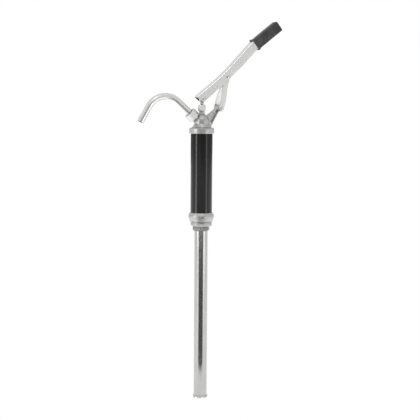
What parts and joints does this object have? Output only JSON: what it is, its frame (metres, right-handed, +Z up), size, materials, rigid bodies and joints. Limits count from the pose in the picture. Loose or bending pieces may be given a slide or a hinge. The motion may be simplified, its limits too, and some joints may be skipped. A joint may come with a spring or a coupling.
{
  "type": "hand lever drum barrel pump",
  "caption": "Hand lever pump for drums: painted barrel, cast head with curved spout, pressed lever on a link, bung collar and telescoping suction tube.",
  "frame": {"origin": "on the pump axis at the flange's lower face, where the bung thread starts", "axes": "+Z up the pump axis, +X towards the lever grip, -X towards the spout, lever pins along Y"},
  "size_m": [0.4196, 0.0727, 1.0474],
  "materials": {
    "barrel_paint": "gloss black paint",
    "cast_metal": "satin as-cast",
    "zinc_steel": "zinc plated",
    "seal_rubber": "matt black",
    "brass": "machined",
    "nut_metal": "satin machined",
    "dark_nut": "darker machined",
    "polished_tube": "bright polished",
    "dark_plastic": "dark moulded",
    "polished_rod": "ground and polished",
    "plated_steel": "bright zinc plated sheet",
    "grip_rubber": "moulded black"
  },
  "bodies": {
    "pump": {"barrel": "barrel_paint", "base_gasket": "seal_rubber", "head_gasket": "seal_rubber", "base_collar": "cast_metal", "set_screw": "zinc_steel", "foot_valve_seat": "brass", "foot_valve_cage": "brass", "tube_seal": "seal_rubber", "suction_tube_nut": "dark_nut", "upper_suction_tube": "polished_tube", "head_casting": "cast_metal", "gland_washer": "brass", "gland_packing": "seal_rubber", "packing_nut": "nut_metal", "spout_ferrule": "brass", "spout_nut": "nut_metal"},
    "spout": {"spout_tube": "polished_tube"},
    "link": {"front_link_plate": "plated_steel", "rear_link_plate": "plated_steel", "link_spacer": "zinc_steel", "bracket_pin": "zinc_steel"},
    "lever_arm": {"lever": "plated_steel", "hand_grip": "grip_rubber", "lever_pin": "zinc_steel", "rod_pin_front": "zinc_steel", "rod_pin_rear": "zinc_steel"},
    "piston": {"piston_rod": "polished_rod", "piston_plate": "brass", "piston_cup_seal": "seal_rubber", "piston_clamp": "brass", "valve_stop": "brass", "piston_nut": "zinc_steel"},
    "piston_valve": {"piston_valve_disc": "brass"},
    "foot_valve": {"foot_valve_disc": "brass"},
    "middle_tube": {"middle_suction_tube": "polished_tube"},
    "lower_tube": {"lower_suction_tube": "polished_tube", "foot_strainer": "dark_plastic"}
  },
  "joints": [
    {"name": "link_swing", "type": "hinge", "parent": "pump", "child": "link", "pos_m": [0.0503, 0, 0.3116], "axis": [0, 1, 0], "range_deg": [0, 6.71]},
    {"name": "lever_swing", "type": "hinge", "parent": "link", "child": "lever_arm", "pos_m": [0.07148, 0, 0.39785], "axis": [0, 1, 0], "range_deg": [0, 63.79]},
    {"name": "piston_stroke", "type": "slide", "parent": "pump", "child": "piston", "axis": [0, 0, 1], "range_m": [0, 0.10499]},
    {"name": "spout_swivel", "type": "hinge", "parent": "pump", "child": "spout", "pos_m": [-0.02527, 0, 0.28925], "axis": [-0.7431, 0, 0.6691], "range_deg": [-60, 60]},
    {"name": "piston_valve_lift", "type": "slide", "parent": "piston", "child": "piston_valve", "axis": [0, 0, 1], "range_m": [0, 0.004]},
    {"name": "foot_valve_lift", "type": "slide", "parent": "pump", "child": "foot_valve", "axis": [0, 0, 1], "range_m": [0, 0.004]},
    {"name": "middle_tube_slide", "type": "slide", "parent": "pump", "child": "middle_tube", "axis": [0, 0, -1], "range_m": [0, 0.38]},
    {"name": "lower_tube_slide", "type": "slide", "parent": "middle_tube", "child": "lower_tube", "axis": [0, 0, -1], "range_m": [0, 0.37]}
  ],
  "couplings": [
    {"joint": "link_swing", "follows": "lever_swing", "ratio": 0.10514},
    {"joint": "piston_stroke", "follows": "lever_swing", "m_per_rad": 0.094292}
  ]
}
